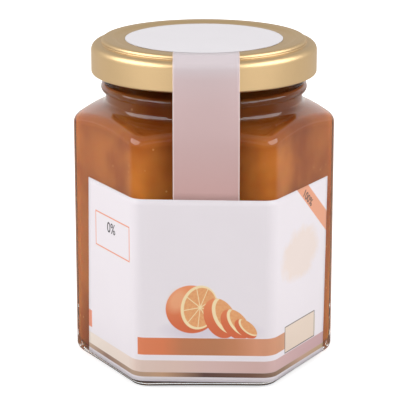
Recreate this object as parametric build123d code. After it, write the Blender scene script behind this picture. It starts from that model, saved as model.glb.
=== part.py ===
from build123d import *
from math import acos, atan2, cos, hypot, radians, sin, sqrt, tan
import os

# A six-sided glass jar of marmalade, closed by a metal twist-off lid, with a paper label
# wrapped round three of its faces, a paper seal strip over the lid's edge and a round
# paper sticker on the lid.
#
# Millimetres. +Z is up, and the labelled front face looks along -Y.
# The origin is on the jar's axis, on the surface that it stands on.

# Glass body
across_flats = 68.3        # between two opposite faces
corner_radius = 5.0        # of the upright edges
heel_radius = 2.8          # where the faces turn under
glass_height = 96.75       # from the standing surface to the rim
shoulder_angle = 24.0      # degrees below level
shoulder_edge_radius = 3.2 # where the faces turn into the shoulder
recess_radius = 27.0       # shallow dish under the base
recess_depth = 0.8

# Glass thickness and cavity
wall = 2.3
base_thickness = 2.6
inner_corner_radius = 6.0
inner_heel_radius = 2.4
inner_edge_radius = 2.5
inner_throat_radius = 2.0

# Neck and finish
finish_radius = 29.5       # outside of the round mouth, under the lid
finish_wall = 3.0
finish_length = 12.75      # from the top of the bead to the rim
rim_radius = 1.0
neck_inset = 0.5           # the neck is this much slimmer than the finish
neck_length = 3.4          # from the shoulder to the bead
neck_foot_radius = 2.2
bead_height = 2.7
bead_bulge = 0.9           # the bead stands out this far from the finish

# Marmalade
headspace = 3.25           # from the marmalade's level to the rim

# Lid
lid_metal = 0.25
lid_side_clearance = 3.45  # between the finish and the inside of the skirt
lid_height = 10.2
lid_roll = 1.2             # diameter of the rolled lower edge
lid_edge_radius = 2.1      # outer shoulder of the lid
lid_step = 1.35            # the channel's top stands this much above the outer ledge
lid_ledge = 3.1            # from the skirt in to the channel's outer side
lid_channel_radius = 1.0   # rounding of the channel's outer edge
lid_bend_radius = 0.3      # small bends in the metal
lid_channel_overlap = 0.5  # the channel's top reaches this far outside the mouth's bore
lid_panel_drop = 0.5       # from the channel's top down to the panel
lid_panel_slope = 1.4      # width of the slope between them

# Paper
paper = 0.12
sticker_margin = 2.4       # bare panel round the sticker
label_bottom = 2.0
label_height = 54.5
label_wrap_left = 29.2     # along the left face, from the front face's edge
label_wrap_right = 33.1    # along the right face
label_tilt = 0.75          # degrees, the right-hand side sits lower
strip_width = 18.8
strip_shift = 0.6          # its middle is this far right of the jar's middle
strip_lift = 0.9           # it leaves the front face this far above the end of the flat

# Places that follow from the sizes above
half_flats = across_flats / 2
half_side = half_flats * tan(radians(30))
slope = tan(radians(shoulder_angle))
neck_radius = finish_radius - neck_inset
mouth_radius = finish_radius - finish_wall
bead_radius = finish_radius + bead_bulge
bead_top = glass_height - finish_length
bead_bottom = bead_top - bead_height
neck_foot = bead_bottom - neck_length
shoulder_foot = neck_foot - (half_flats - neck_radius) * slope
inner_half_flats = half_flats - wall
inner_shoulder_foot = shoulder_foot + wall * slope - wall / cos(radians(shoulder_angle))
marmalade_level = glass_height - headspace

lid_radius = finish_radius + lid_side_clearance + lid_metal
lid_top = glass_height + lid_metal
lid_bottom = lid_top - lid_height
ledge_level = lid_top - lid_step
panel_level = lid_top - lid_panel_drop
channel_radius = lid_radius - lid_ledge
channel_inner_radius = mouth_radius + lid_channel_overlap
panel_radius = channel_inner_radius - lid_panel_slope
skirt_foot = lid_bottom + lid_roll / 2
sticker_radius = panel_radius - sticker_margin

label_right = half_side + label_wrap_right / 2
label_left = half_side + label_wrap_left / 2
strip_left = strip_shift - strip_width / 2
strip_right = strip_shift + strip_width / 2
wall_top = shoulder_foot - shoulder_edge_radius * tan(radians((90 - shoulder_angle) / 2))
strip_leaves = wall_top + strip_lift
label_middle = label_bottom + label_height / 2


def profile(points, rounded):
    """A closed outline in radius and height, with some of its corners rounded."""
    face = make_face(Polyline(*points, close=True).edges())
    for (x, y), radius in rounded:
        corner = face.vertices().sort_by_distance(Vector(x, y, 0))[0]
        face = fillet(corner, radius)
    return face


def turned(face):
    """The solid that a profile sweeps round the jar's axis."""
    return revolve(Plane.XZ * face, Axis.Z)


def hexagonal_prism(half_width, edge_radius, bottom, top):
    """Six flat sides, two of them facing front and back, with rounded upright edges."""
    outline = fillet(RegularPolygon(half_width, 6, major_radius=False).vertices(), edge_radius)
    return Pos(0, 0, bottom) * extrude(outline, top - bottom)


def jar_form(half_width, edge_radius, floor, floor_radius, foot, turn_radius, throat, throat_radius,
             top):
    """A six-sided body cut off by a cone that climbs from foot to a round throat."""
    reach = half_width / cos(radians(30)) + 1
    throat_foot = foot + (half_width - throat) * slope
    cone = turned(profile([
        (0, floor), (reach, floor), (reach, foot - (reach - half_width) * slope),
        (throat, throat_foot), (0, throat_foot),
    ], []))
    body = hexagonal_prism(half_width, edge_radius, floor, throat_foot) & cone

    def is_level(edge):
        return abs((edge @ 0).Z - (edge @ 1).Z) < half_width / 3

    def distance(edge):
        middle = edge @ 0.5
        return hypot(middle.X, middle.Y)

    under = [e for e in body.edges() if is_level(e) and abs((e @ 0.5).Z - floor) < 0.001]
    brow = [e for e in body.edges() if is_level(e) and distance(e) > throat + 1 and e not in under]
    body = fillet(brow, turn_radius)
    under = [e for e in body.edges() if is_level(e) and abs((e @ 0.5).Z - floor) < 0.001]
    body = fillet(under, floor_radius)
    body += Pos(0, 0, foot - turn_radius) * extrude(Circle(throat), top - foot + turn_radius)
    seam = [e for e in body.edges()
            if abs(distance(e) - throat) < 0.01 and abs((e @ 0.5).Z - throat_foot) < 0.01]
    return fillet(seam, throat_radius)


def cavity(top):
    """The inside of the glass, up to a height."""
    return jar_form(inner_half_flats, inner_corner_radius, base_thickness, inner_heel_radius,
                    inner_shoulder_foot, inner_edge_radius, mouth_radius, inner_throat_radius, top)


def glass_jar():
    bead_middle = (bead_bottom + bead_top) / 2
    body = jar_form(half_flats, corner_radius, 0, heel_radius, shoulder_foot, shoulder_edge_radius,
                    neck_radius, neck_foot_radius, bead_middle)
    finish = profile([
        (0, bead_middle), (finish_radius, bead_middle), (finish_radius, glass_height), (0, glass_height),
    ], [((finish_radius, glass_height), rim_radius)])
    bead = profile([
        (0, bead_bottom), (bead_radius, bead_bottom), (bead_radius, bead_top), (0, bead_top),
    ], [((bead_radius, bead_bottom), bead_height * 0.48), ((bead_radius, bead_top), bead_height * 0.48)])
    dish_radius = (recess_radius ** 2 + recess_depth ** 2) / (2 * recess_depth)
    dish = Pos(0, 0, recess_depth - dish_radius) * Sphere(dish_radius)
    jar = body + turned(finish) + turned(bead) - cavity(glass_height + 1) - dish
    bore = [e for e in jar.edges() if abs((e @ 0.5).Z - glass_height) < 0.001
            and abs(hypot((e @ 0.5).X, (e @ 0.5).Y) - mouth_radius) < 0.01]
    return fillet(bore, rim_radius)


def lid_section():
    """Outside of the lid: skirt, rounded edge, ledge, raised channel and panel, over a solid core."""
    below = lid_bottom - lid_height
    return profile([
        (-lid_radius, below), (lid_radius, below), (lid_radius, ledge_level), (channel_radius, ledge_level),
        (channel_radius, lid_top), (channel_inner_radius, lid_top), (panel_radius, panel_level),
        (-lid_radius, panel_level),
    ], [
        ((lid_radius, ledge_level), lid_edge_radius), ((channel_radius, ledge_level), lid_bend_radius),
        ((channel_radius, lid_top), lid_channel_radius), ((channel_inner_radius, lid_top), lid_bend_radius),
        ((panel_radius, panel_level), lid_bend_radius),
    ])


def lid():
    outside = lid_section()
    window = Pos(lid_radius, skirt_foot + lid_height) * Rectangle(2 * lid_radius, 2 * lid_height)
    sheet = (outside - offset(outside, -lid_metal)) & window
    roll = Pos(lid_radius - lid_roll / 2, skirt_foot) * Circle(lid_roll / 2)
    return turned(sheet) + turned(roll)


def label_window():
    """The block that cuts the label's edges, turned a little about the jar's front."""
    width = label_left + label_right
    block = Pos((label_right - label_left) / 2, -half_flats, 0) * Box(width, across_flats, label_height)
    return Pos(0, 0, label_middle) * Rot(0, label_tilt, 0) * block


def label():
    room = label_bottom + 2 * label_height
    outer = hexagonal_prism(half_flats + paper, corner_radius + paper, -label_height, room)
    inner = hexagonal_prism(half_flats, corner_radius, -label_height, room)
    return (outer - inner) & label_window()


def lid_sticker():
    return Pos(0, 0, panel_level) * extrude(Circle(sticker_radius), paper)


def taut_section():
    """The line that paper takes over the lid: from the sticker's edge on to the channel, straight
    down to the rounded edge as the common tangent of the two roundings, and down the skirt."""
    channel_centre = Vector(channel_radius - lid_channel_radius, lid_top - lid_channel_radius)
    edge_centre = Vector(lid_radius - lid_edge_radius, ledge_level - lid_edge_radius)
    step = edge_centre - channel_centre
    normal = acos((lid_channel_radius - lid_edge_radius) / step.length) + atan2(step.Y, step.X)
    reach = cos(normal) * channel_centre.X + sin(normal) * channel_centre.Y + lid_channel_radius
    upper = ((reach - sin(normal) * lid_top) / cos(normal), lid_top)
    lower = (lid_radius, (reach - cos(normal) * lid_radius) / sin(normal))
    below = lid_bottom - lid_height
    return profile([
        (-lid_radius, below), (lid_radius, below), lower, upper, (channel_inner_radius, lid_top),
        (sticker_radius, panel_level), (-lid_radius, panel_level),
    ], [(lower, lid_edge_radius), (upper, lid_channel_radius)])


def hanging_paper():
    """The strip between lid and glass: a ruled band from the skirt's arc to the flat front face."""
    def arc_point(x, radius):
        return (x, -sqrt(radius ** 2 - x ** 2), skirt_foot)

    def curved(radius):
        return ThreePointArc(arc_point(strip_left, radius), (0, -radius, skirt_foot),
                             arc_point(strip_right, radius))

    def straight(depth):
        return Line((strip_left, -depth, strip_leaves), (strip_right, -depth, strip_leaves))

    def band(inner, outer):
        ends = [Line(inner @ 0, outer @ 0), Line(inner @ 1, outer @ 1)]
        return make_face([*inner.edges(), *outer.edges(), *ends[0].edges(), *ends[1].edges()])

    upper = band(curved(lid_radius), curved(lid_radius + paper))
    lower = band(straight(half_flats), straight(half_flats + paper))
    return loft([lower, upper], ruled=True)


def seal_strip():
    taut = taut_section()
    window = Pos(lid_radius, skirt_foot + lid_height) * Rectangle(3 * lid_radius, 2 * lid_height)
    over_lid = turned((offset(taut, paper) - taut) & window & Pos(50, 90) * Rectangle(100, 100))
    slab = Pos(strip_shift, -lid_radius, lid_top) * Box(strip_width, 2 * lid_radius, 4 * lid_height)
    over_lid = over_lid & slab
    over_lid -= Pos(0, 0, panel_level - 1) * extrude(Circle(sticker_radius), 3)
    flat_length = strip_leaves - label_middle
    on_glass = Pos(strip_shift, -half_flats - paper / 2, label_middle + flat_length / 2) * Box(
        strip_width, paper, flat_length)
    return over_lid + hanging_paper() + (on_glass - label_window())


def save(node, solid):
    solid.label = node
    export_step(solid, os.path.join("parts", node + ".step"))


os.makedirs("parts", exist_ok=True)
save("glass_jar", glass_jar())
save("marmalade", cavity(marmalade_level))
save("lid", lid())
save("label", label())
save("seal_strip", seal_strip())
save("lid_sticker", lid_sticker())
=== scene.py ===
"""Looks for a six-sided jar of orange marmalade: glass, marmalade, gold lid, label, seal strip, sticker.

Metres, +Z up, the labelled front face looks along -Y. Sizes below are written in millimetres.
"""

import math

import bpy
import numpy as np
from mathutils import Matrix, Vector


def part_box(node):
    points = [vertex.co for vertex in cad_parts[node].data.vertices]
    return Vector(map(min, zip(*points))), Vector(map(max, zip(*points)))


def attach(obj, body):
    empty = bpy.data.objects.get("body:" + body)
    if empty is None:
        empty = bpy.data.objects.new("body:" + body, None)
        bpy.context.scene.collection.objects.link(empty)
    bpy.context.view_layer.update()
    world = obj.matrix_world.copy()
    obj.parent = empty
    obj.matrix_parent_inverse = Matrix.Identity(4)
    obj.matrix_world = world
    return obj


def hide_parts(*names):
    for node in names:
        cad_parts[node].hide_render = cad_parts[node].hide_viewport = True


bl_info = {
    "name": "Marmalade jar",
    "version": (1, 0, 0),
    "blender": (4, 5, 0),
    "location": "3D View > Sidebar > Jar",
    "description": "Builds the visible pieces of a six-sided marmalade jar around its packed frame",
    "category": "Add Mesh",
}

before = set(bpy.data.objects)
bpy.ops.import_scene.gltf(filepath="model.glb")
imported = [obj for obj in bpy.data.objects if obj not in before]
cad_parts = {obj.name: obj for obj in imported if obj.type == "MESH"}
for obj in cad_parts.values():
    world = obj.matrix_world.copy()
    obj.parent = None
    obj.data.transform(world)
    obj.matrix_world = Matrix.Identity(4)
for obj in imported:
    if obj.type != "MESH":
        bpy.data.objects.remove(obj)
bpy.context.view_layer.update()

MM = 0.001
TAN_30 = math.tan(math.radians(30))
FRONT = math.radians(-90)

# fixed sizes in millimetres that the frame's boxes don't give
MOUTH_WALL = 3.0       # glass thickness at the rim
RIM_ROUNDING = 1.0
NECK_INSET = 0.5       # the neck is this much slimmer than the finish
BEAD_BULGE = 0.9       # the bead stands this far out of the finish
BEAD_ROUNDING = 0.46   # of the bead's height
NECK_FOOT_RADIUS = 2.2
DISH_RADIUS = 26.8     # shallow dish under the base
DISH_DEPTH = 0.8
INNER_CORNER = 6.0     # upright edges of the cavity
INNER_HEEL = 2.4
INNER_SHOULDER = 2.5
INNER_THROAT = 2.0
INTO_GLASS = 0.15      # the marmalade reaches this far into the wall
LID_METAL = 0.25
LID_ROLL = 0.6         # radius of the rolled lower edge
LID_EDGE = 2.1         # rounding of the lid's outer shoulder
LID_STEP = 1.35        # from the channel's top down to the ledge
LID_LEDGE = 3.1        # width of the ledge
CHANNEL_ROUNDING = 1.0
CHANNEL_INSIDE = 27.0  # inner radius of the channel's top
PANEL_RADIUS = 25.6
PANEL_DROP = 0.5
STRIP_LIFT = 0.9       # the strip leaves the glass this far above the end of the flat


def box_size(node):
    """Low and high corner of a CAD node in millimetres."""
    low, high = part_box(node)
    return np.array(low) / MM, np.array(high) / MM


glass_low, glass_high = box_size("glass_jar")
lid_low, lid_high = box_size("lid")
sticker_low, sticker_high = box_size("lid_sticker")
strip_low, strip_high = box_size("seal_strip")
_, fill_high = box_size("marmalade")


def length_property(name, description, millimetres):
    return bpy.props.FloatProperty(
        name=name, description=description, default=float(millimetres) * MM, min=0.0,
        subtype="DISTANCE", unit="LENGTH")


def colour_property(name, description, colour):
    return bpy.props.FloatVectorProperty(
        name=name, description=description, default=colour, size=3, min=0.0, max=1.0, subtype="COLOR")


class JarGlassSizes(bpy.types.PropertyGroup):
    """Sizes of the glass, inside and out."""
    across_flats: length_property("Across flats", "Between opposite glass faces",
                                  glass_high[1] - glass_low[1])
    height: length_property("Glass height", "From the standing surface to the rim", glass_high[2])
    corner: length_property("Corner radius", "Rounding of the upright edges", 5.0)
    heel: length_property("Heel radius", "Rounding where the faces turn under", 2.8)
    shoulder: length_property("Shoulder radius", "Rounding above the faces", 3.2)
    wall: length_property("Wall", "Glass thickness", 2.3)
    base: length_property("Base", "Glass thickness at the bottom", 2.6)
    finish_radius: length_property("Finish radius", "Outside of the round mouth", 29.5)
    finish_length: length_property("Finish length", "From the bead's top to the rim", 12.75)
    bead_height: length_property("Bead height", "Height of the ring under the lid", 2.7)
    neck_length: length_property("Neck length", "From the shoulder to the bead", 3.4)
    headspace: length_property("Headspace", "From the marmalade to the rim", glass_high[2] - fill_high[2])
    shoulder_angle: bpy.props.FloatProperty(
        name="Shoulder angle", description="Slope of the shoulder below level",
        default=math.radians(24.0), subtype="ANGLE", unit="ROTATION")


class JarPaperSizes(bpy.types.PropertyGroup):
    """Sizes of the label, the strip and the sticker."""
    thickness: length_property("Paper", "Paper thickness", 0.12)
    label_bottom: length_property("Label bottom", "Height of the label's lower edge", 2.0)
    label_height: length_property("Label height", "Height of the label", 54.5)
    label_left: length_property("Label left", "Reach of the label to the left", 34.32)
    label_right: length_property("Label right", "Reach of the label to the right", 36.27)
    strip_width: length_property("Strip width", "Width of the seal strip", strip_high[0] - strip_low[0])
    sticker_radius: length_property("Sticker radius", "Radius of the round sticker",
                                    (sticker_high[0] - sticker_low[0]) / 2)
    label_tilt: bpy.props.FloatProperty(
        name="Label tilt", description="The right-hand side sits lower by this angle",
        default=math.radians(0.75), subtype="ANGLE", unit="ROTATION")


class JarColours(bpy.types.PropertyGroup):
    """Base colours of the finishes."""
    tinplate: colour_property("Tinplate", "Gold lacquer on the lid", (0.82, 0.59, 0.32))
    paper: colour_property("Paper", "Label paper", (0.83, 0.775, 0.815))
    sticker: colour_property("Sticker", "Sticker paper", (0.84, 0.81, 0.84))
    strip_top: colour_property("Strip top", "Seal strip on the lid", (0.69, 0.625, 0.655))
    strip_foot: colour_property("Strip foot", "Seal strip beside the label", (0.60, 0.36, 0.34))
    marmalade_dark: colour_property("Dark marmalade", "Deep parts of the marmalade", (0.29, 0.064, 0.009))
    marmalade_light: colour_property("Light marmalade", "Thin, bright parts", (0.55, 0.190, 0.037))
    print_peach: colour_property("Peach print", "Ribbon of the label", (0.80, 0.36, 0.22))
    ink: colour_property("Ink", "Dark printed numbers", (0.05, 0.045, 0.05))


class JarStageSizes(bpy.types.PropertyGroup):
    """Camera, floor and lamps."""
    camera_distance: length_property("Camera distance", "In front of the jar's axis", 580.0)
    camera_height: length_property("Camera height", "Above the floor", 205.3)
    camera_pitch: bpy.props.FloatProperty(
        name="Camera pitch", description="Downward tilt of the view",
        default=math.radians(15.345), subtype="ANGLE", unit="ROTATION")
    lens: bpy.props.FloatProperty(
        name="Lens", description="Focal length", default=177.2, min=1.0, subtype="DISTANCE_CAMERA")
    floor_colour: colour_property("Floor", "Colour of the floor", (0.80, 0.80, 0.80))


# ---- surfaces ----------------------------------------------------------------------------------

HOLD = 0.12  # a row of points this far inside each flat keeps its shading flat


def rounded_profile(points, radii, steps=8):
    """A run of straight lines with rounded corners.

    points is (..., K, 2) and radii has K numbers. At a corner P with unit directions a (in) and b (out)
    that turn by angle q, the arc starts at P - a t and ends at P + b t, with t = r tan(q / 2). Its
    points are C + (A sin((1 - u) q) + B sin(u q)) / sin q, with C the centre and A, B the end radii.
    """
    points = np.asarray(points, float)
    steps = [steps] * len(radii) if np.isscalar(steps) else steps
    out = [points[..., :1, :]]
    count = points.shape[-2]
    for i in range(1, count - 1):
        corner, radius = points[..., i, :], radii[i]
        into = corner - points[..., i - 1, :]
        away = points[..., i + 1, :] - corner
        into = into / np.linalg.norm(into, axis=-1, keepdims=True)
        away = away / np.linalg.norm(away, axis=-1, keepdims=True)
        if radius <= 0:
            out.append(corner[..., None, :])
            continue
        turn = np.arccos(np.clip((into * away).sum(-1), -1, 1))[..., None]
        tangent = radius * np.tan(turn / 2)
        start, end = corner - into * tangent, corner + away * tangent
        middle = away - into
        middle = middle / np.linalg.norm(middle, axis=-1, keepdims=True)
        centre = corner + middle * radius / np.cos(turn / 2)
        u = np.linspace(0, 1, steps[i] + 1)[:, None]
        arc = centre[..., None, :] + (
            (start - centre)[..., None, :] * np.sin((1 - u) * turn[..., None, :])
            + (end - centre)[..., None, :] * np.sin(u * turn[..., None, :])) / np.sin(turn[..., None, :])
        out += [(start - into * HOLD)[..., None, :], arc, (end + away * HOLD)[..., None, :]]
    out.append(points[..., -1:, :])
    return np.concatenate(out, axis=-2)


def sextant_angles(depth, corner, flat_steps=24, corner_steps=10):
    """Directions round the axis, close together at the six rounded corners."""
    edge = math.atan((depth * TAN_30 - corner * TAN_30) / depth)
    flat = np.linspace(-edge, edge, flat_steps + 1)
    flat = np.concatenate([flat[:1], flat[:1] + 0.004, flat[1:-1], flat[-1:] - 0.004, flat[-1:]])
    turn = np.linspace(edge, math.radians(60) - edge, corner_steps + 1)[1:-1]
    sextant = np.concatenate([flat, turn])
    return (FRONT + np.radians(60) * np.arange(6)[:, None] + sextant[None, :]).ravel()


def hexagon_reach(angle, depth, corner):
    """Distance from the axis to a hexagon with rounded corners, in one direction.

    With f the angle from the nearest face's middle: depth / cos f on the flat, and on the corner
    D cos g + sqrt(corner^2 - D^2 sin^2 g), where g = 30 deg - |f| and D = (depth - corner) / cos 30 deg.
    """
    f = np.abs((angle - FRONT + np.radians(30)) % np.radians(60) - np.radians(30))
    g = np.radians(30) - f
    far = (depth - corner) / math.cos(math.radians(30))
    edge = math.atan((depth - corner) * TAN_30 / depth)
    root = np.sqrt(np.maximum(corner ** 2 - (far * np.sin(g)) ** 2, 0))
    return np.where(f <= edge, depth / np.cos(f), far * np.cos(g) + root)


def sections(zero, places):
    """The same corners in every direction: (radius, height) pairs, each a number or one per direction."""
    return np.stack([np.stack([zero + radius, zero + height], -1) for radius, height in places], 1)


def carried_round(angle, section):
    """Points (r cos a, r sin a, z) of a section (r, z) carried round the axis."""
    radius, height = section[..., 0], section[..., 1]
    angle = angle[:, None]
    return np.stack([radius * np.cos(angle), radius * np.sin(angle), height + 0 * angle], -1)


def along_faces(s, depth, corner):
    """Point on the rounded hexagon at s along its outline, counted from the front face's middle.

    Face k runs from (k - 1/2) to (k + 1/2) sides. On it, x = t and y = depth; past the tangent point
    the angle w turns from 0 to 30 deg and x = flat + corner sin w, y = depth - corner + corner cos w.
    """
    side = 2 * depth * TAN_30
    k = np.clip(np.floor(s / side + 0.5), -1, 1)
    t = s - k * side
    tangent = corner * TAN_30
    flat = side / 2 - tangent
    past = np.sign(t) * np.clip(np.abs(t) - flat, 0, tangent) / tangent * math.radians(30)
    ends = (np.abs(k) > 0.5) & (t * k > 0)
    past = np.where(ends, 0, past)
    x = np.where(ends, t, np.clip(t, -flat, flat) + corner * np.sin(past))
    y = np.where(ends, depth, depth - corner + corner * np.cos(past))
    angle = FRONT + np.radians(60) * k
    return np.stack([y * np.cos(angle) - x * np.sin(angle), y * np.sin(angle) + x * np.cos(angle)], -1)


def grid_faces(rows, columns, closed):
    """Four-sided faces of a grid of points, in numbers of rows and columns."""
    i, j = np.meshgrid(np.arange(rows if closed else rows - 1), np.arange(columns - 1), indexing="ij")
    k = (i + 1) % rows
    return np.stack([i * columns + j, k * columns + j, k * columns + j + 1, i * columns + j + 1],
                    -1).reshape(-1, 4)


def add_object(name, data):
    item = bpy.data.objects.new(name, data)
    bpy.context.scene.collection.objects.link(item)
    return item


def add_piece(name, points, faces, material, uv=None):
    """A mesh object in the frame, from points in millimetres."""
    mesh = bpy.data.meshes.new(name)
    mesh.from_pydata((points.reshape(-1, 3) * MM).tolist(), [], faces)
    if uv is not None:
        layer = mesh.uv_layers.new(name="layout")
        loops = np.empty(len(mesh.loops), np.int32)
        mesh.loops.foreach_get("vertex_index", loops)
        layer.data.foreach_set("uv", uv.reshape(-1, 2)[loops].astype(np.float32).ravel())
    mesh.polygons.foreach_set("use_smooth", np.ones(len(mesh.polygons), bool))
    mesh.materials.append(material)
    mesh.update()
    piece = add_object(name, mesh)
    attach(piece, "root")
    return piece


def add_round_piece(name, points, material):
    """A closed body: the first and last column of points are poles on the axis, each one point."""
    rows, columns = points.shape[:2]
    inner = points[:, 1:-1]
    quads = grid_faces(rows, columns - 2, True)
    start, end = rows * (columns - 2), rows * (columns - 2) + 1
    i = np.arange(rows)
    k = (i + 1) % rows
    first = np.stack([np.full(rows, start), k * (columns - 2), i * (columns - 2)], -1)
    last = np.stack([i * (columns - 2) + columns - 3, k * (columns - 2) + columns - 3,
                     np.full(rows, end)], -1)
    everything = np.concatenate([inner.reshape(-1, 3), points[:1, 0], points[:1, -1]])
    faces = quads.tolist() + first.tolist() + last.tolist()
    return add_piece(name, everything, faces, material)


def thicken(piece, thickness):
    """Gives a sheet its thickness, behind its front side."""
    solid = piece.modifiers.new("thickness", "SOLIDIFY")
    solid.thickness = thickness
    solid.offset = -1
    solid.use_rim = True
    solid.use_even_offset = True
    return piece


# ---- shader nodes ------------------------------------------------------------------------------


def put(tree, kind, inputs=None, **settings):
    """Adds a node; an input that is a socket is linked, any other is set."""
    made = tree.nodes.new(kind)
    for key, value in settings.items():
        setattr(made, key, value)
    for key, value in (inputs or {}).items():
        socket = made.inputs[key]
        if isinstance(value, bpy.types.NodeSocket):
            tree.links.new(value, socket)
        else:
            socket.default_value = value
    return made


def calc(tree, operation, a, b=0.0, c=0.0):
    inputs = {0: a, 1: b}
    if operation in ("MULTIPLY_ADD", "SMOOTH_MIN"):
        inputs[2] = c
    return put(tree, "ShaderNodeMath", inputs, operation=operation).outputs[0]


def over(tree, mask, below, above):
    """One colour laid over another where the mask is 1."""
    return put(tree, "ShaderNodeMix", {0: mask, 6: below, 7: above}, data_type="RGBA").outputs[2]


def times(tree, a, b):
    return calc(tree, "MULTIPLY", a, b)


def part_of(tree, vector, axis):
    return put(tree, "ShaderNodeSeparateXYZ", {0: vector}).outputs[axis]


def eased(tree, value, low, high, low_result=0.0, high_result=1.0):
    """Runs smoothly from one result to the other as the value goes from low to high."""
    return put(tree, "ShaderNodeMapRange", {
        "Value": value, "From Min": low, "From Max": high, "To Min": low_result, "To Max": high_result},
        interpolation_type="SMOOTHSTEP").outputs[0]


def noise(tree, place, scale, detail, roughness=0.5, distortion=0.0):
    return put(tree, "ShaderNodeTexNoise", {
        "Vector": place, "Scale": scale, "Detail": detail, "Roughness": roughness,
        "Distortion": distortion})


def bumped(tree, shader, height, strength, distance):
    """Relief from a height, on the shader's Normal."""
    bump = put(tree, "ShaderNodeBump", {"Height": height, "Strength": strength, "Distance": distance})
    tree.links.new(bump.outputs[0], shader.inputs["Normal"])


def shared(tree, name, inputs=None):
    """Places a shared node group in a material, with its own values."""
    return put(tree, "ShaderNodeGroup", inputs, node_tree=bpy.data.node_groups[name])


def set_values(shader, **values):
    """Plain numbers and colours on the shader's own sockets; base_color means Base Color."""
    for key, value in values.items():
        shader.inputs[key.replace("_", " ").title().replace("Ior", "IOR")].default_value = value


def rgba(colour):
    return (*colour[:3], 1.0)


def make_group(name, inputs, outputs):
    """An empty node group with named sockets: (name, type, default)."""
    group = bpy.data.node_groups.new(name, "ShaderNodeTree")
    for label, kind, default in inputs:
        socket = group.interface.new_socket(name=label, in_out="INPUT", socket_type="NodeSocket" + kind)
        if default is not None:
            socket.default_value = default
    for label, kind in outputs:
        group.interface.new_socket(name=label, in_out="OUTPUT", socket_type="NodeSocket" + kind)
    return group, group.nodes.new("NodeGroupInput"), group.nodes.new("NodeGroupOutput")


def box_mask_group():
    """1 inside a rectangle with soft edges, worked out from a position in millimetres."""
    group, start, end = make_group(
        "rectangle_mask",
        [("Position", "Vector", None), ("Left", "Float", 0.0), ("Right", "Float", 1.0),
         ("Bottom", "Float", 0.0), ("Top", "Float", 1.0), ("Softness", "Float", 0.1)],
        [("Mask", "Float")])
    place = put(group, "ShaderNodeSeparateXYZ", {0: start.outputs["Position"]})
    result = None
    for axis, low, high in (("X", "Left", "Right"), ("Y", "Bottom", "Top")):
        for above, below in ((place.outputs[axis], start.outputs[low]),
                             (start.outputs[high], place.outputs[axis])):
            edge = calc(group, "DIVIDE", calc(group, "SUBTRACT", above, below), start.outputs["Softness"])
            clipped = put(group, "ShaderNodeMath", {0: edge, 1: 0.5}, operation="ADD",
                          use_clamp=True).outputs[0]
            result = clipped if result is None else times(group, result, clipped)
    group.links.new(result, end.inputs["Mask"])
    return group


def ellipse_mask_group():
    """1 inside an ellipse with soft edges; also its own radius (1 at the edge) and angle."""
    group, start, end = make_group(
        "ellipse_mask",
        [("Position", "Vector", None), ("Centre X", "Float", 0.0), ("Centre Y", "Float", 0.0),
         ("Radius X", "Float", 1.0), ("Radius Y", "Float", 1.0), ("Turn", "Float", 0.0),
         ("Softness", "Float", 0.1)],
        [("Mask", "Float"), ("Radius", "Float"), ("Angle", "Float")])
    centre = put(group, "ShaderNodeCombineXYZ",
                 {"X": start.outputs["Centre X"], "Y": start.outputs["Centre Y"]}).outputs[0]
    moved = put(group, "ShaderNodeVectorMath", {0: start.outputs["Position"], 1: centre},
                operation="SUBTRACT").outputs[0]
    turned = put(group, "ShaderNodeVectorRotate", {"Vector": moved, "Angle": start.outputs["Turn"]},
                 rotation_type="Z_AXIS").outputs[0]
    size = put(group, "ShaderNodeCombineXYZ",
               {"X": start.outputs["Radius X"], "Y": start.outputs["Radius Y"], "Z": 1.0}).outputs[0]
    unit = put(group, "ShaderNodeVectorMath", {0: turned, 1: size}, operation="DIVIDE").outputs[0]
    parts = put(group, "ShaderNodeSeparateXYZ", {0: unit})
    flat = put(group, "ShaderNodeCombineXYZ", {"X": parts.outputs["X"], "Y": parts.outputs["Y"]}).outputs[0]
    radius = put(group, "ShaderNodeVectorMath", {0: flat}, operation="LENGTH").outputs["Value"]
    inside = calc(group, "SUBTRACT", 1.0, radius)
    soft = calc(group, "DIVIDE", times(group, inside, start.outputs["Radius Y"]), start.outputs["Softness"])
    mask = put(group, "ShaderNodeMath", {0: soft, 1: 0.5}, operation="ADD", use_clamp=True).outputs[0]
    group.links.new(mask, end.inputs["Mask"])
    group.links.new(radius, end.inputs["Radius"])
    group.links.new(calc(group, "ARCTAN2", parts.outputs["Y"], parts.outputs["X"]), end.inputs["Angle"])
    return group


def handled_surface_group():
    """Colour and roughness that vary a little over a surface, with a fine relief."""
    group, start, end = make_group(
        "handled_surface",
        [("Colour", "Color", (0.8, 0.8, 0.8, 1.0)), ("Roughness", "Float", 0.5),
         ("Cloud Scale", "Float", 60.0), ("Grain Scale", "Float", 2500.0),
         ("Colour Change", "Float", 0.05), ("Roughness Change", "Float", 0.05)],
        [("Colour", "Color"), ("Roughness", "Float"), ("Height", "Float")])
    place = put(group, "ShaderNodeTexCoord").outputs["Object"]
    cloud = noise(group, place, start.outputs["Cloud Scale"], 3.0).outputs[0]
    grain = noise(group, place, start.outputs["Grain Scale"], 2.0).outputs[0]
    centred = calc(group, "SUBTRACT", cloud, 0.5)
    fine = calc(group, "SUBTRACT", grain, 0.5)
    change = times(group, calc(group, "ADD", centred, times(group, fine, 0.5)),
                   start.outputs["Colour Change"])
    factor = calc(group, "ADD", 1.0, times(group, change, 2.0))
    colour = put(group, "ShaderNodeVectorMath", {0: start.outputs["Colour"], "Scale": factor},
                 operation="SCALE").outputs[0]
    rough = calc(group, "MULTIPLY_ADD", calc(group, "ADD", centred, fine),
                 start.outputs["Roughness Change"], start.outputs["Roughness"])
    group.links.new(colour, end.inputs["Colour"])
    group.links.new(rough, end.inputs["Roughness"])
    group.links.new(grain, end.inputs["Height"])
    return group


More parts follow.
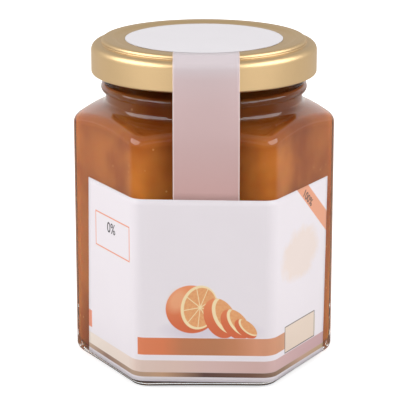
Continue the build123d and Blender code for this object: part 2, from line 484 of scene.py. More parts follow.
def new_material(name):
    material = bpy.data.materials.new(name)
    material.use_nodes = True
    tree = material.node_tree
    tree.nodes.clear()
    shader = tree.nodes.new("ShaderNodeBsdfPrincipled")
    output = tree.nodes.new("ShaderNodeOutputMaterial")
    tree.links.new(shader.outputs[0], output.inputs["Surface"])
    return material, tree, shader, output


GRAIN_DEPTH = 0.00001  # metres


def finish_surface(tree, shader, colour, roughness, cloud, grain, colour_change, roughness_change,
                   relief):
    """Gives a material the shared surface: its colour and roughness vary, and it has a fine relief."""
    group = shared(tree, "handled_surface", {
        "Colour": colour if isinstance(colour, bpy.types.NodeSocket) else rgba(colour),
        "Roughness": roughness, "Cloud Scale": cloud, "Grain Scale": grain,
        "Colour Change": colour_change, "Roughness Change": roughness_change})
    tree.links.new(group.outputs["Colour"], shader.inputs["Base Color"])
    tree.links.new(group.outputs["Roughness"], shader.inputs["Roughness"])
    bumped(tree, shader, group.outputs["Height"], relief, GRAIN_DEPTH)


def glass_material():
    """Clear glass; lamps reach what is inside it."""
    material, tree, shader, output = new_material("pressed_glass")
    set_values(shader, base_color=(0.97, 0.985, 0.97, 1), roughness=0.0, ior=1.5, transmission_weight=1.0)
    place = put(tree, "ShaderNodeTexCoord").outputs["Object"]
    bumped(tree, shader, noise(tree, place, 35.0, 1.0).outputs[0], 0.25, 0.0005)
    path = put(tree, "ShaderNodeLightPath")
    through = put(tree, "ShaderNodeBsdfTransparent", {"Color": (0.93, 0.95, 0.93, 1)})
    mix = put(tree, "ShaderNodeMixShader", {0: path.outputs["Is Shadow Ray"], 1: shader.outputs[0],
                                            2: through.outputs[0]})
    tree.links.new(mix.outputs[0], output.inputs["Surface"])
    return material


def marmalade_material(colours):
    """Set fruit: cloudy from dark amber to gold, with fine light specks, painted shade in the neck and at the
    sides, and a painted glow behind the front face.
    """
    material, tree, shader, _ = new_material("set_marmalade")
    place = put(tree, "ShaderNodeTexCoord").outputs["Object"]
    across, depth, height = (part_of(tree, place, axis) for axis in "XYZ")
    stretched = put(tree, "ShaderNodeMapping", {"Vector": place, "Scale": (1.0, 1.0, 0.75)}).outputs[0]
    cloud = noise(tree, stretched, 48.0, 3.0, 0.5, 0.15).outputs[0]
    colour = over(tree, eased(tree, cloud, 0.30, 0.66), rgba(colours.marmalade_dark),
                  rgba(colours.marmalade_light))
    # painted shade: darker up in the neck, under the lid, where less light gets in
    colour = over(tree, times(tree, eased(tree, height, 0.067, 0.078), 0.74), colour,
                  (0.10, 0.018, 0.002, 1))
    # painted light: a paler glow behind the front face, beside its two upright edges, where light comes
    # through the corners; painted shade: darker fruit at the sides
    sideways = calc(tree, "ABSOLUTE", across)
    face_on = put(tree, "ShaderNodeCombineXYZ", {"X": sideways, "Y": height}).outputs[0]
    pale = shared(tree, "ellipse_mask", {
        "Position": face_on, "Centre X": 0.0155, "Centre Y": 0.061, "Radius X": 0.0055,
        "Radius Y": 0.0095, "Softness": 0.009}).outputs[0]
    front = put(tree, "ShaderNodeMapRange", {"Value": depth, "From Min": 0.0, "From Max": -0.025}).outputs[0]
    colour = over(tree, times(tree, times(tree, pale, front), 0.34), colour, (0.76, 0.29, 0.06, 1))
    # painted shade: the sides darker than the front
    colour = over(tree, times(tree, eased(tree, sideways, 0.021, 0.033), 0.34), colour,
                  rgba(colours.marmalade_dark))
    # fine light specks, here and there
    cells = put(tree, "ShaderNodeTexVoronoi", {"Vector": place, "Scale": 420.0}).outputs["Distance"]
    some = eased(tree, noise(tree, place, 160.0, 1.0).outputs[0], 0.56, 0.66)
    speck = times(tree, times(tree, eased(tree, cells, 0.16, 0.08), some), 0.55)
    colour = over(tree, speck, colour, (0.75, 0.42, 0.14, 1))
    tree.links.new(colour, shader.inputs["Base Color"])
    # it wets the glass, so it has hardly any gloss of its own
    set_values(shader, subsurface_weight=0.62, subsurface_radius=(1.0, 0.42, 0.12),
               subsurface_scale=0.009, ior=1.38)
    shader.inputs["Specular IOR Level"].default_value = 0.05
    rough = put(tree, "ShaderNodeMapRange", {"Value": cloud, "To Min": 0.2, "To Max": 0.4}).outputs[0]
    tree.links.new(rough, shader.inputs["Roughness"])
    bumped(tree, shader, cloud, 0.3, 0.001)
    return material


def tinplate_material(colours):
    """Satin gold lacquer on steel."""
    material, tree, shader, _ = new_material("gold_lacquer")
    set_values(shader, metallic=1.0, coat_weight=0.06, coat_roughness=0.3)
    finish_surface(tree, shader, colours.tinplate, 0.41, 90.0, 1800.0, 0.04, 0.06, 0.12)
    return material


def paper_material(name, colour, roughness):
    _, tree, shader, _ = new_material(name)
    finish_surface(tree, shader, colour, roughness, 70.0, 2600.0, 0.02, 0.06, 0.25)


def strip_material(colours):
    """Seal paper, whiter on the lid and pinker down by the label, with a pale cut edge."""
    material, tree, shader, _ = new_material("strip_face")
    uv = put(tree, "ShaderNodeUVMap", uv_map="layout").outputs[0]
    place = put(tree, "ShaderNodeSeparateXYZ", {0: uv})
    ramp = put(tree, "ShaderNodeValToRGB", {0: place.outputs["Y"]})
    top, foot = np.array(colours.strip_top), np.array(colours.strip_foot)
    stops = ((0.0, 0.0), (0.22, 0.12), (0.30, 0.45), (0.45, 0.62), (0.62, 0.7), (1.0, 1.0))
    for i, (place_on, share) in enumerate(stops):
        stop = ramp.color_ramp.elements[i] if i < 2 else ramp.color_ramp.elements.new(place_on)
        stop.position = place_on
        stop.color = rgba(top * (1 - share) + foot * share)
    from_edge = calc(tree, "ABSOLUTE", calc(tree, "SUBTRACT", place.outputs["X"], 0.5))
    colour = over(tree, eased(tree, from_edge, 0.482, 0.496), ramp.outputs[0], (0.86, 0.70, 0.66, 1))
    finish_surface(tree, shader, colour, 0.48, 70.0, 2600.0, 0.02, 0.05, 0.2)
    return material


LABEL_SPAN = 110.0   # millimetres along the label per unit of its layout
LABEL_RISE = 60.0
LABEL_START = -52.0  # the layout's zero
RIBBON_TURN = math.radians(-41.0)


def ramp_along(tree, value, low, high, stops):
    """A colour that changes along a length, from (place, colour) pairs in millimetres."""
    share = put(tree, "ShaderNodeMapRange", {"Value": value, "From Min": low, "From Max": high}).outputs[0]
    ramp = put(tree, "ShaderNodeValToRGB", {0: share})
    for i, (place, colour) in enumerate(stops):
        where = (place - low) / (high - low)
        stop = ramp.color_ramp.elements[i] if i < 2 else ramp.color_ramp.elements.new(where)
        stop.position = where
        stop.color = rgba(colour)
    return ramp.outputs[0]


def label_material(colours):
    """White paper printed with bands, outlines, a brushed patch and a cut orange."""
    material, tree, shader, _ = new_material("label_face")
    uv = put(tree, "ShaderNodeUVMap", uv_map="layout").outputs[0]
    place = put(tree, "ShaderNodeVectorMath", {0: uv, 1: (LABEL_SPAN, LABEL_RISE, 0), 2: (LABEL_START, 0, 0)},
                operation="MULTIPLY_ADD").outputs[0]
    along, rise = part_of(tree, place, "X"), part_of(tree, place, "Y")

    def rectangle(left, right, bottom, top, softness=0.12, position=place):
        return shared(tree, "rectangle_mask", {
            "Position": position, "Left": left, "Right": right, "Bottom": bottom, "Top": top,
            "Softness": softness}).outputs[0]

    def ellipse(x, y, radius_x, radius_y, turn=0.0, softness=0.2, position=place):
        return shared(tree, "ellipse_mask", {
            "Position": position, "Centre X": x, "Centre Y": y, "Radius X": radius_x, "Radius Y": radius_y,
            "Turn": math.radians(turn), "Softness": softness})

    def without(mask, hole):
        return times(tree, mask, calc(tree, "SUBTRACT", 1.0, hole))

    def both(a, b):
        return times(tree, a, b)

    colour = rgba(colours.paper)

    # brushed peach patch on the right face
    rough = noise(tree, place, 0.22, 5.0, 0.65).outputs["Color"]
    shake = put(tree, "ShaderNodeVectorMath", {0: rough, 1: (0.5, 0.5, 0.5)}, operation="SUBTRACT").outputs[0]
    shaken = put(tree, "ShaderNodeVectorMath", {0: shake, 1: (9.0, 6.0, 0), 2: place},
                 operation="MULTIPLY_ADD").outputs[0]
    patch = ellipse(36.5, 35.0, 11.0, 7.5, -8.0, 2.5, shaken).outputs[0]
    colour = over(tree, both(patch, 0.75), colour, (0.83, 0.69, 0.61, 1))

    # ribbon across the upper right corner
    moved = put(tree, "ShaderNodeVectorMath", {0: place, 1: (46.2, 46.9, 0)}, operation="SUBTRACT").outputs[0]
    diagonal = put(tree, "ShaderNodeVectorRotate", {"Vector": moved, "Angle": RIBBON_TURN},
                   rotation_type="Z_AXIS", invert=True).outputs[0]
    ribbon = rectangle(-30.0, 30.0, -2.35, 2.35, 0.15, diagonal)
    colour = over(tree, ribbon, colour, rgba(colours.print_peach))

    # bands along the lower edge
    orange = ramp_along(tree, along, -20.0, 48.0, [
        (-19.5, (0.76, 0.225, 0.10)), (-12.0, (0.74, 0.215, 0.088)), (-6.0, (0.55, 0.205, 0.09)),
        (3.0, (0.52, 0.21, 0.095)), (9.0, (0.58, 0.235, 0.11)), (15.0, (0.70, 0.31, 0.175)),
        (24.0, (0.64, 0.31, 0.18)), (30.0, (0.68, 0.38, 0.24)), (38.0, (0.76, 0.52, 0.38)),
        (46.0, (0.82, 0.70, 0.60))])
    colour = over(tree, rectangle(-19.5, 46.5, 8.1, 13.3), colour, orange)
    colour = over(tree, rectangle(-60.0, -47.3, 8.1, 13.4), colour, (0.83, 0.28, 0.17, 1))
    pink = ramp_along(tree, along, -50.0, 54.0, [
        (-49.0, (0.84, 0.74, 0.655)), (-24.0, (0.80, 0.67, 0.59)), (-20.0, (0.74, 0.575, 0.50)),
        (-8.0, (0.73, 0.54, 0.47)),
        (2.0, (0.69, 0.49, 0.455)), (15.0, (0.65, 0.44, 0.406)), (25.0, (0.65, 0.44, 0.43)),
        (52.0, (0.60, 0.38, 0.40))])
    colour = over(tree, rectangle(-60.0, 60.0, 2.8, 6.4), colour, pink)
    brown = ramp_along(tree, along, -50.0, 54.0, [
        (-49.0, (0.562, 0.403, 0.287)), (-38.0, (0.33, 0.21, 0.161)), (-22.0, (0.44, 0.308, 0.22)),
        (-12.0, (0.56, 0.337, 0.205)), (0.0, (0.132, 0.068, 0.055)), (13.7, (0.19, 0.094, 0.062)),
        (28.7, (0.365, 0.25, 0.168)), (37.7, (0.58, 0.378, 0.279)), (52.0, (0.53, 0.37, 0.22))])
    colour = over(tree, rectangle(-60.0, 60.0, 1.4, 2.8), colour, brown)

    # outlined boxes
    outline = without(rectangle(-44.0, -22.8, 35.0, 45.6), rectangle(-43.6, -23.2, 35.4, 45.2))
    colour = over(tree, outline, colour, (0.82, 0.31, 0.18, 1))
    box = rectangle(27.2, 46.2, 6.6, 14.8)
    colour = over(tree, box, colour, (0.80, 0.66, 0.55, 1))
    outline = without(box, rectangle(27.5, 45.9, 6.9, 14.5))
    colour = over(tree, outline, colour, (0.16, 0.14, 0.14, 1))

    # a cut orange and three wedges with their shadow, above the orange band
    above_band = rectangle(-20.0, 20.0, 13.4, 40.0, 0.1)
    shadow = both(ellipse(2.0, 15.5, 12.5, 3.2, 0.0, 2.0).outputs[0], above_band)
    colour = over(tree, both(shadow, 0.55), colour, (0.62, 0.55, 0.66, 1))

    def lay(below, mask, paint):
        return over(tree, both(mask, above_band), below, paint)

    rind, bright_rind, pith = (0.70, 0.155, 0.06, 1), (0.86, 0.30, 0.13, 1), (0.92, 0.74, 0.44, 1)
    pulp, pale_pulp = (0.74, 0.26, 0.10, 1), (0.88, 0.50, 0.22, 1)

    # half a fruit, its cut side turned to the right
    skin = over(tree, eased(tree, rise, 15.0, 29.0), rind, bright_rind)
    colour = lay(colour, ellipse(-3.6, 22.0, 7.4, 7.2).outputs[0], skin)
    light = ellipse(-7.6, 24.6, 2.4, 3.4, 25.0, 2.5).outputs[0]
    colour = lay(colour, both(light, 0.5), (0.90, 0.50, 0.28, 1))
    colour = lay(colour, ellipse(-1.4, 22.6, 5.2, 6.7, 14.0).outputs[0], pith)
    face = ellipse(-1.1, 22.6, 4.6, 6.0, 14.0)
    wave = calc(tree, "ABSOLUTE", calc(tree, "SINE", both(face.outputs["Angle"], 4.5)))
    wedge = eased(tree, both(wave, face.outputs["Radius"]), 0.04, 0.16)
    flesh = over(tree, noise(tree, place, 1.6, 3.0).outputs[0], pulp, pale_pulp)
    colour = lay(colour, both(face.outputs[0], wedge), flesh)

    # three wedges leaning on each other, each with its peel outside and its flesh inside
    for x, y, rx, ry, turn in ((4.6, 19.4, 4.4, 6.3, -24.0), (8.9, 17.6, 3.4, 5.2, -38.0),
                               (12.0, 16.3, 2.2, 3.8, -50.0)):
        whole = ellipse(x, y, rx, ry, turn).outputs[0]
        cut = ellipse(x + rx * 0.42, y + ry * 0.16, rx * 0.86, ry * 0.94, turn).outputs[0]
        deep = ellipse(x + rx * 0.56, y + ry * 0.2, rx * 0.78, ry * 0.84, turn).outputs[0]
        for mask, paint in ((whole, skin), (both(whole, cut), pith), (both(whole, deep), flesh)):
            colour = lay(colour, mask, paint)

    finish_surface(tree, shader, colour, 0.42, 70.0, 2600.0, 0.015, 0.05, 0.2)
    return material


# ---- pieces ------------------------------------------------------------------------------------


def sizes():
    scene = bpy.context.scene
    return scene.jar_glass, scene.jar_paper, scene.jar_colours, scene.jar_stage


def bead_and_finish(glass):
    """Radii and heights of the neck, from the glass sizes in millimetres."""
    half = glass.across_flats / MM / 2
    finish = glass.finish_radius / MM
    height = glass.height / MM
    bead_top = height - glass.finish_length / MM
    bead_bottom = bead_top - glass.bead_height / MM
    neck_foot = bead_bottom - glass.neck_length / MM
    slope = math.tan(glass.shoulder_angle)
    foot = neck_foot - (half - (finish - NECK_INSET)) * slope
    return half, finish, height, bead_top, bead_bottom, neck_foot, slope, foot


def inside_section(glass, angle, grow, top):
    """Section of the cavity from the middle of its floor up to its top, grown into the glass."""
    half, finish, _, _, _, _, slope, foot = bead_and_finish(glass)
    wall = glass.wall / MM - grow
    depth = half - wall
    mouth = finish - MOUTH_WALL + grow
    floor = glass.base / MM - grow
    inner_foot = foot + wall * slope - wall / math.cos(glass.shoulder_angle)
    reach = hexagon_reach(angle, depth, INNER_CORNER)
    points = sections(np.zeros_like(reach), [
        (0, floor), (reach, floor), (reach, inner_foot - (reach - depth) * slope),
        (mouth, inner_foot + (depth - mouth) * slope), (mouth, top)])
    return rounded_profile(points, [0, INNER_HEEL, INNER_SHOULDER, INNER_THROAT, 0], [0, 8, 8, 6, 0])


class JAR_OT_glass(bpy.types.Operator):
    """Six-sided glass wall with its neck, bead and rim"""
    bl_idname = "jar.glass"
    bl_label = "Glass"

    def execute(self, context):
        glass, _, _, _ = sizes()
        half, finish, height, bead_top, bead_bottom, neck_foot, slope, foot = bead_and_finish(glass)
        angle = sextant_angles(half, glass.corner / MM)
        reach = hexagon_reach(angle, half, glass.corner / MM)
        zero = np.zeros_like(reach)
        neck, bead, mouth = finish - NECK_INSET, finish + BEAD_BULGE, finish - MOUTH_WALL
        dish = np.linspace(0, DISH_RADIUS - 0.2, 9)
        base = sections(zero, [(r, DISH_DEPTH - DISH_DEPTH * (r / (DISH_RADIUS + 0.2)) ** 2) for r in dish])
        outer = sections(zero, [
            (DISH_RADIUS, 0), (reach, 0), (reach, foot - (reach - half) * slope), (neck, neck_foot),
            (neck, bead_bottom), (bead, bead_bottom), (bead, bead_top), (finish, bead_top),
            (finish, height), (mouth, height), (mouth, height - 2 * RIM_ROUNDING)])
        bend = BEAD_ROUNDING * glass.bead_height / MM
        outer = rounded_profile(
            outer, [0, glass.heel / MM, glass.shoulder / MM, NECK_FOOT_RADIUS, 0.1, bend, bend, 0,
                    RIM_ROUNDING, RIM_ROUNDING, 0],
            [0, 10, 10, 8, 2, 8, 8, 0, 5, 5, 0])
        inner = inside_section(glass, angle, 0.0, height - 2 * RIM_ROUNDING - 0.2)[:, ::-1]
        points = carried_round(angle, np.concatenate([base, outer, inner], 1))
        piece = add_round_piece("glass_wall", points, bpy.data.materials["pressed_glass"])
        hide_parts("glass_jar")
        return {"FINISHED"}


class JAR_OT_marmalade(bpy.types.Operator):
    """Marmalade that fills the glass and reaches just into its wall"""
    bl_idname = "jar.marmalade"
    bl_label = "Marmalade"

    def execute(self, context):
        glass, _, _, _ = sizes()
        half = glass.across_flats / MM / 2
        angle = sextant_angles(half - glass.wall / MM, INNER_CORNER)
        level = (glass.height - glass.headspace) / MM
        section = inside_section(glass, angle, INTO_GLASS, level)
        top = np.repeat(np.array([[[0.0, level]]]), len(angle), 0)
        points = carried_round(angle, np.concatenate([section, top], 1))
        piece = add_round_piece("marmalade_fill", points, bpy.data.materials["set_marmalade"])
        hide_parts("marmalade")
        return {"FINISHED"}


def lid_levels():
    """Main radii and heights of the lid, in millimetres."""
    top, bottom, radius = lid_high[2], lid_low[2], lid_high[0]
    return top, bottom, radius, top - LID_STEP, top - PANEL_DROP, radius - LID_LEDGE


class JAR_OT_lid(bpy.types.Operator):
    """Twist-off lid with a raised channel, a sunk panel and a rolled lower edge"""
    bl_idname = "jar.lid"
    bl_label = "Lid"

    def execute(self, context):
        top, bottom, radius, ledge, panel, channel = lid_levels()
        under = rounded_profile(
            [(0, panel - LID_METAL), (PANEL_RADIUS + 0.05, panel - LID_METAL),
             (CHANNEL_INSIDE + 0.1, top - LID_METAL), (channel - LID_METAL, top - LID_METAL),
             (channel - LID_METAL, ledge - LID_METAL), (radius - LID_METAL, ledge - LID_METAL),
             (radius - LID_METAL, bottom + 2 * LID_ROLL + 0.3)],
            [0, 0.5, 0.4, CHANNEL_ROUNDING - LID_METAL, 0.5, LID_EDGE - LID_METAL, 0],
            [0, 3, 3, 6, 4, 10, 0])
        turn = np.linspace(math.radians(170), math.radians(360), 18)
        curl = np.stack([radius - LID_ROLL + LID_ROLL * np.cos(turn),
                         bottom + LID_ROLL + LID_ROLL * np.sin(turn)], -1)
        outside = rounded_profile(
            [(radius, bottom + LID_ROLL + 0.02), (radius, ledge), (channel, ledge), (channel, top),
             (CHANNEL_INSIDE, top), (PANEL_RADIUS, panel), (0, panel)],
            [0, LID_EDGE, 0.3, CHANNEL_ROUNDING, 0.3, 0.3, 0], [0, 12, 4, 8, 4, 4, 0])
        angle = np.linspace(0, 2 * math.pi, 240, endpoint=False)
        section = np.concatenate([under, curl, outside])
        points = carried_round(angle, np.repeat(section[None], len(angle), 0))
        piece = add_round_piece("lid_shell", points, bpy.data.materials["gold_lacquer"])
        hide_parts("lid")
        return {"FINISHED"}


def label_height_at(x, v, paper):
    """Height of the label's line v at a place x: the label is turned about the jar's front."""
    middle = paper.label_bottom / MM + paper.label_height / MM / 2
    lift = v - paper.label_height / MM / 2
    return middle - x * math.tan(paper.label_tilt) + lift / math.cos(paper.label_tilt)


def label_points(s, v, lift, glass, paper):
    """Places on the label at s along it and v up it, lift above its front side."""
    depth = glass.across_flats / MM / 2 + paper.thickness / MM + lift
    corner = glass.corner / MM + paper.thickness / MM + lift
    flat = along_faces(s, depth, corner)
    return np.stack([flat[..., 0], flat[..., 1], label_height_at(flat[..., 0], v, paper)], -1)


class JAR_OT_label(bpy.types.Operator):
    """Paper label round three faces"""
    bl_idname = "jar.label"
    bl_label = "Label"

    def execute(self, context):
        glass, paper, _, _ = sizes()
        half = glass.across_flats / MM / 2 + paper.thickness / MM
        side = half * TAN_30
        rise = paper.label_height / MM
        v = np.linspace(0, rise, 29)
        lean = (v - rise / 2) * math.sin(paper.label_tilt)
        left = -(side + 2 * (paper.label_left / MM - lean - side))
        right = side + 2 * (paper.label_right / MM + lean - side)
        # columns lie close together round the two upright edges that the label goes over
        near = np.concatenate([np.linspace(-3.0, 3.0, 15), [-3.2, -2.4, 2.4, 3.2]])
        bends = (np.concatenate([near - side, near + side]) - left[0]) / (right[0] - left[0])
        share = np.unique(np.round(np.concatenate([np.linspace(0, 1, 61), bends]), 7))
        s = left[None, :] + share[:, None] * (right - left)[None, :]
        vv = np.repeat(v[None, :], len(share), 0)
        points = label_points(s, vv, 0.0, glass, paper)
        uv = np.stack([(s - LABEL_START) / LABEL_SPAN, vv / LABEL_RISE], -1)
        faces = grid_faces(len(share), len(v), False).tolist()
        piece = add_piece("label_paper", points, faces, bpy.data.materials["label_face"], uv=uv)
        thicken(piece, paper.thickness)
        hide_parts("label")
        return {"FINISHED"}


class JAR_OT_seal_strip(bpy.types.Operator):
    """Paper strip from the sticker over the lid's edge and down to the label"""
    bl_idname = "jar.seal_strip"
    bl_label = "Seal strip"

    def execute(self, context):
        glass, paper, _, _ = sizes()
        thick = paper.thickness / MM
        top, bottom, radius, ledge, panel, channel = lid_levels()
        sticker = paper.sticker_radius / MM
        # common tangent of the channel's rounding and the lid's rounded edge
        upper_centre = np.array([channel - CHANNEL_ROUNDING, top - CHANNEL_ROUNDING])
        lower_centre = np.array([radius - LID_EDGE, ledge - LID_EDGE])
        step = lower_centre - upper_centre
        normal = math.acos((CHANNEL_ROUNDING - LID_EDGE) / math.hypot(*step)) + math.atan2(step[1], step[0])
        reach = (math.cos(normal) * upper_centre[0] + math.sin(normal) * upper_centre[1]
                 + CHANNEL_ROUNDING + thick)
        high = top + thick
        far = radius + thick
        upper = ((reach - math.sin(normal) * high) / math.cos(normal), high)
        lower = (far, (reach - math.cos(normal) * far) / math.sin(normal))
        section = rounded_profile(
            [(sticker, panel + thick), (CHANNEL_INSIDE, high), upper, lower, (far, bottom + LID_ROLL)],
            [0, 1.5, CHANNEL_ROUNDING + thick, LID_EDGE + thick, 0], [0, 4, 6, 8, 0])
        middle = (strip_low[0] + strip_high[0]) / 2
        half_width = paper.strip_width / MM / 2 - 0.01
        x = np.linspace(middle - half_width, middle + half_width, 25)
        run = section[::-1]  # from the skirt's foot up, so that the face looks outward
        on_lid = np.stack([np.repeat(x[:, None], len(run), 1),
                           -np.sqrt(run[None, :, 0] ** 2 - x[:, None] ** 2),
                           np.repeat(run[None, :, 1], len(x), 0)], -1)
        half, foot = bead_and_finish(glass)[0], bead_and_finish(glass)[-1]
        turned_in = math.tan((math.radians(90) - glass.shoulder_angle) / 2)
        leaves = foot - glass.shoulder / MM * turned_in + STRIP_LIFT
        end = label_height_at(x, paper.label_height / MM, paper) + 0.02
        share = np.linspace(0, 1, 9)[None, :, None]
        low = np.stack([x, 0 * x - half - thick, end], -1)[:, None]
        bend = np.stack([x, 0 * x - half - thick, 0 * x + leaves], -1)[:, None]
        flat = low + (bend - low) * share
        hanging = bend + (on_lid[:, :1] - bend) * share
        points = np.concatenate([flat[:, :-1], hanging[:, :-1], on_lid], 1)
        length = np.concatenate([[0], np.cumsum(np.linalg.norm(np.diff(points[12], axis=0), axis=-1))])
        down = 1 - length / length[-1]
        uv = np.stack([np.repeat(((x - x[0]) / (x[-1] - x[0]))[:, None], len(down), 1),
                       np.repeat(down[None], len(x), 0)], -1)
        faces = grid_faces(len(x), points.shape[1], False).tolist()
        piece = add_piece("seal_paper", points, faces, bpy.data.materials["strip_face"], uv=uv)
        thicken(piece, paper.thickness * 0.9)
        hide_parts("seal_strip")
        return {"FINISHED"}


class JAR_OT_sticker(bpy.types.Operator):
    """Round bare sticker on the lid"""
    bl_idname = "jar.sticker"
    bl_label = "Sticker"

    def execute(self, context):
        _, paper, _, _ = sizes()
        low, high = sticker_low[2], sticker_high[2]
        radius = paper.sticker_radius / MM
        section = rounded_profile([(0, low), (radius, low), (radius, high), (0, high)],
                                  [0, 0.02, 0.04, 0], [0, 2, 3, 0])
        angle = np.linspace(0, 2 * math.pi, 180, endpoint=False)
        points = carried_round(angle, np.repeat(section[None], len(angle), 0))
        piece = add_round_piece("sticker_paper", points, bpy.data.materials["sticker_face"])
        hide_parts("lid_sticker")
        return {"FINISHED"}


INK_THICKNESS = 0.008  # millimetres, each side of the printed number's middle
INK_SPREAD = 0.03
INK_LIFT = 0.012


def printed_number(name, text, size, s, v, turn, material):
    """A printed number laid on the label: its outline is turned, moved, then bent round the faces."""
    glass, paper, _, _ = sizes()
    curve = bpy.data.curves.new(name + "_outline", "FONT")
    curve.body = text
    curve.size = size
    curve.align_x, curve.align_y = "CENTER", "CENTER"
    curve.extrude, curve.offset = INK_THICKNESS, INK_SPREAD
    maker = add_object(name + "_outline", curve)
    bpy.context.view_layer.update()
    mesh = bpy.data.meshes.new_from_object(maker.evaluated_get(bpy.context.evaluated_depsgraph_get()))
    co = np.empty(len(mesh.vertices) * 3, np.float32)
    mesh.vertices.foreach_get("co", co)
    co = co.reshape(-1, 3).astype(float)
    c, d = math.cos(turn), math.sin(turn)
    along = s + co[:, 0] * c - co[:, 1] * d
    up = v + co[:, 0] * d + co[:, 1] * c
    flat = label_points(along, up, 0.0, glass, paper)
    out = label_points(along, up, 1.0, glass, paper) - flat
    out[:, 2] = 0
    placed = (flat + out * (co[:, 2:3] + INK_LIFT)) * MM
    mesh.vertices.foreach_set("co", placed.astype(np.float32).ravel())
    mesh.name = name
    mesh.materials.clear()
    mesh.materials.append(material)
    mesh.update()
    piece = add_object(name, mesh)
    bpy.data.objects.remove(maker)
    bpy.data.curves.remove(curve)
    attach(piece, "root")


class JAR_OT_numbers(bpy.types.Operator):
    """Plain printed numbers on the label's side faces"""
    bl_idname = "jar.numbers"
    bl_label = "Printed numbers"

    def execute(self, context):
        ink = bpy.data.materials["number_ink"]
        printed_number("number_zero", "0%", 4.4, -34.07, 42.1, 0.0, ink)
        printed_number("number_hundred", "100%", 3.3, 40.8, 50.6, RIBBON_TURN, ink)
        return {"FINISHED"}


class JAR_OT_materials(bpy.types.Operator):
    """Shared node groups and the materials of all pieces"""
    bl_idname = "jar.materials"
    bl_label = "Materials"

    def execute(self, context):
        colours = sizes()[2]
        box_mask_group()
        ellipse_mask_group()
        handled_surface_group()
        glass_material()
        marmalade_material(colours)
        tinplate_material(colours)
        strip_material(colours)
        label_material(colours)
        paper_material("sticker_face", colours.sticker, 0.68)
        paper_material("number_ink", colours.ink, 0.5)
        return {"FINISHED"}


def softbox(name, place, target, width, height, radiance):
    """A rectangular lamp that looks at its target; its power is radiance times pi times its area."""
    lamp = bpy.data.lights.new(name, "AREA")
    lamp.shape = "RECTANGLE"
    lamp.size, lamp.size_y = width, height
    lamp.energy = radiance * math.pi * width * height
    item = add_object(name, lamp)
    item.location = place
    item.rotation_euler = (Vector(target) - Vector(place)).to_track_quat("-Z", "Y").to_euler()


FLOOR_HALF = 4.0    # metres
AIR_GAP = 0.00006   # under the glass, so that its base reflects as glass on a table does


def floor_material(stage):
    """White to the eye, with the jar's soft shadow and painted shade round its foot; gloss, metal and glass
    see a darker front.
    """
    material, tree, shader, output = new_material("floor_white")
    shader.inputs["Roughness"].default_value = 0.9
    path = put(tree, "ShaderNodeLightPath").outputs
    place = put(tree, "ShaderNodeTexCoord").outputs["Object"]
    away = put(tree, "ShaderNodeVectorMath", {0: place}, operation="LENGTH").outputs["Value"]
    # painted shade: near the jar the floor glows less, to the eye and as seen through the glass, so it is
    # darker round the jar's foot
    far = eased(tree, away, 0.07, 0.5)
    shown = times(tree, path["Is Camera Ray"], calc(tree, "MULTIPLY_ADD", far, 0.42, 0.58))
    through = times(tree, path["Is Transmission Ray"], calc(tree, "MULTIPLY_ADD", far, 0.72, 0.28))
    tree.links.new(calc(tree, "ADD", shown, through), shader.inputs["Emission Strength"])
    # painted light and shade: seen through the glass, the floor at the jar's foot glows warm and is coloured
    # a darker brown, for the light that comes down through the marmalade and the jar's shadow
    warm = times(tree, path["Is Transmission Ray"], calc(tree, "SUBTRACT", 1.0, far))
    tree.links.new(over(tree, warm, (1, 1, 1, 1), (1.0, 0.66, 0.42, 1)), shader.inputs["Emission Color"])
    tree.links.new(over(tree, warm, rgba(stage.floor_colour), (0.42, 0.28, 0.22, 1)),
                   shader.inputs["Base Color"])
    # what metal and paper mirror: darker just in front of the jar, brighter beyond
    dark = shared(tree, "ellipse_mask", {
        "Position": place, "Centre Y": -0.16, "Radius X": 0.11, "Radius Y": 0.185,
        "Softness": 0.03}).outputs[0]
    depth = part_of(tree, place, "Y")
    ahead = eased(tree, depth, -0.05, -0.35, 0.68, 1.2)
    soft = times(tree, ahead, calc(tree, "MULTIPLY_ADD", dark, -0.95, 1.0))
    # smooth glass mirrors it more faintly, as through a polarising filter, which leaves metal alone
    sharp = calc(tree, "ADD", eased(tree, depth, -0.10, 0.06, 0.04, 0.50),
                 eased(tree, depth, 0.2, 0.8, 0.0, 0.45))
    strength = put(tree, "ShaderNodeMix", {0: path["Is Singular Ray"], 2: soft, 3: sharp}).outputs[0]
    mirrored = put(tree, "ShaderNodeEmission", {"Color": (1.0, 0.97, 0.94, 1), "Strength": strength})
    mix = put(tree, "ShaderNodeMixShader", {0: path["Is Glossy Ray"], 1: shader.outputs[0],
                                            2: mirrored.outputs[0]})
    tree.links.new(mix.outputs[0], output.inputs["Surface"])
    return material


def floor_sheet(material):
    """A level square, a hair under the jar so that the air below the glass is kept."""
    mesh = bpy.data.meshes.new("floor")
    mesh.from_pydata([(x * FLOOR_HALF, y * FLOOR_HALF, -AIR_GAP)
                      for x, y in ((-1, -1), (1, -1), (1, 1), (-1, 1))], [], [(0, 1, 2, 3)])
    mesh.materials.append(material)
    return add_object("floor", mesh)


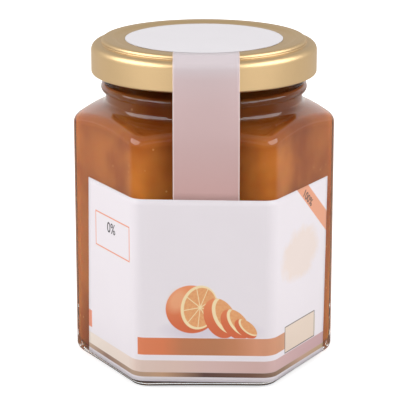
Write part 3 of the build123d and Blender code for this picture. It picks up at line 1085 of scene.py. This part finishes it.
def studio_world():
    """Plain soft light all round, white to the eye; gloss sees it dimmer in front, brighter behind."""
    world = bpy.data.worlds.new("studio")
    world.use_nodes = True
    tree = world.node_tree
    tree.nodes.clear()
    path = put(tree, "ShaderNodeLightPath").outputs
    seen = put(tree, "ShaderNodeMath", {0: path["Is Camera Ray"], 1: path["Is Transmission Ray"]},
               operation="ADD", use_clamp=True).outputs[0]
    forward = part_of(tree, put(tree, "ShaderNodeTexCoord").outputs["Generated"], "Y")
    ahead = times(tree, eased(tree, forward, -0.3, -0.9), path["Is Glossy Ray"])
    behind = times(tree, eased(tree, forward, 0.3, 0.9), path["Is Glossy Ray"])
    fainter = calc(tree, "MULTIPLY_ADD", path["Is Singular Ray"], -0.16, -0.2)
    brighter = calc(tree, "MULTIPLY_ADD", path["Is Singular Ray"], 0.4, 0.06)
    strength = calc(tree, "MULTIPLY_ADD", seen, 0.55, calc(tree, "MULTIPLY_ADD", ahead, fainter, 0.45))
    strength = calc(tree, "MULTIPLY_ADD", behind, brighter, strength)
    background = put(tree, "ShaderNodeBackground", {"Color": (1, 1, 1, 1), "Strength": strength})
    final = put(tree, "ShaderNodeOutputWorld")
    tree.links.new(background.outputs[0], final.inputs["Surface"])
    return world


class JAR_OT_stage(bpy.types.Operator):
    """Pale floor, soft lamps and camera"""
    bl_idname = "jar.stage"
    bl_label = "Stage"

    def execute(self, context):
        scene = context.scene
        _, _, _, stage = sizes()
        camera = bpy.data.cameras.new("front_camera")
        camera.lens = stage.lens
        camera.sensor_width = 36.0
        camera.clip_start = 0.01
        view = add_object("front_camera", camera)
        view.location = (-0.00015, -stage.camera_distance, stage.camera_height)
        view.rotation_euler = (math.radians(90) - stage.camera_pitch, 0, 0)
        scene.camera = view

        floor_sheet(floor_material(stage))
        scene.world = studio_world()
        middle = (0, 0, 0.06)
        for name, place, width, height, radiance in (
                ("left_softbox", (-0.70, -0.20, 0.50), 0.9, 0.5, 3.3),
                ("right_softbox", (0.70, -0.20, 0.50), 0.9, 0.5, 3.15),
                ("front_softbox", (0.0, -0.95, 0.36), 1.3, 0.4, 0.3)):
            softbox(name, place, middle, width, height, radiance)
        scene.view_settings.view_transform = "Standard"
        return {"FINISHED"}


class JAR_PT_panel(bpy.types.Panel):
    """Lists the jar's pieces"""
    bl_idname = "JAR_PT_panel"
    bl_label = "Marmalade jar"
    bl_space_type = "VIEW_3D"
    bl_region_type = "UI"
    bl_category = "Jar"

    def draw(self, context):
        column = self.layout.column()
        for operator in OPERATORS:
            column.operator(operator.bl_idname)


OPERATORS = (JAR_OT_materials, JAR_OT_glass, JAR_OT_marmalade, JAR_OT_lid, JAR_OT_label,
             JAR_OT_seal_strip, JAR_OT_sticker, JAR_OT_numbers, JAR_OT_stage)
SETTINGS = (("jar_glass", JarGlassSizes), ("jar_paper", JarPaperSizes), ("jar_colours", JarColours),
            ("jar_stage", JarStageSizes))


CLASSES = tuple(group for _, group in SETTINGS) + OPERATORS + (JAR_PT_panel,)


def register():
    for item in CLASSES:
        bpy.utils.register_class(item)
    for name, group in SETTINGS:
        setattr(bpy.types.Scene, name, bpy.props.PointerProperty(type=group))


def unregister():
    for name, _ in SETTINGS:
        delattr(bpy.types.Scene, name)
    for item in reversed(CLASSES):
        bpy.utils.unregister_class(item)


def main():
    register()
    for operator in OPERATORS:
        family, name = operator.bl_idname.split(".")
        getattr(getattr(bpy.ops, family), name)()


if __name__ == "__main__":
    main()
